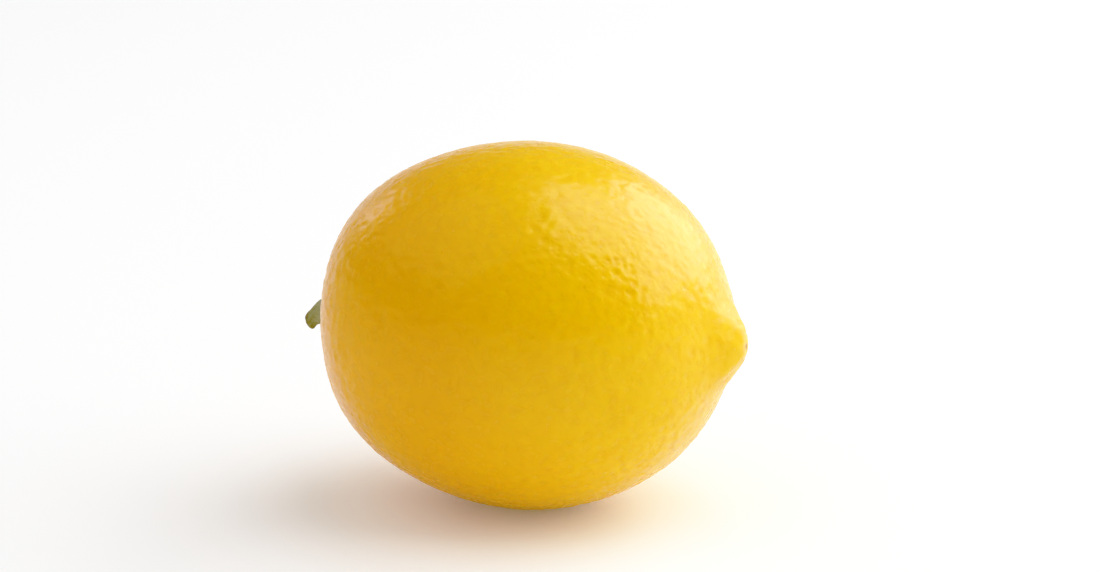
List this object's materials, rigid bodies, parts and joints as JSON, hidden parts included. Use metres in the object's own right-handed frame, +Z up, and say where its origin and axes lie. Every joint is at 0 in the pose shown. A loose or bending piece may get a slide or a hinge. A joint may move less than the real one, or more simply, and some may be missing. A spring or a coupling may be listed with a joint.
{
  "type": "lemon",
  "caption": "Ripe yellow lemon lying on its side, with a nipple at the blossom end, a green calyx and a short stub of stem.",
  "frame": {"origin": "middle of the small flat spot that the fruit rests on", "axes": "+X along the fruit from the stem end to the blossom end, +Z up, away from the surface it rests on"},
  "size_m": [0.078, 0.063, 0.0615],
  "materials": {
    "peel": "waxy satin, pitted with oil glands",
    "calyx": "matte, fleshy, drying at the tips",
    "stem": "matte, finely ribbed, pale at the cut"
  },
  "bodies": {
    "root": {"fruit": "peel", "calyx": "calyx", "stem": "stem"}
  },
  "joints": []
}
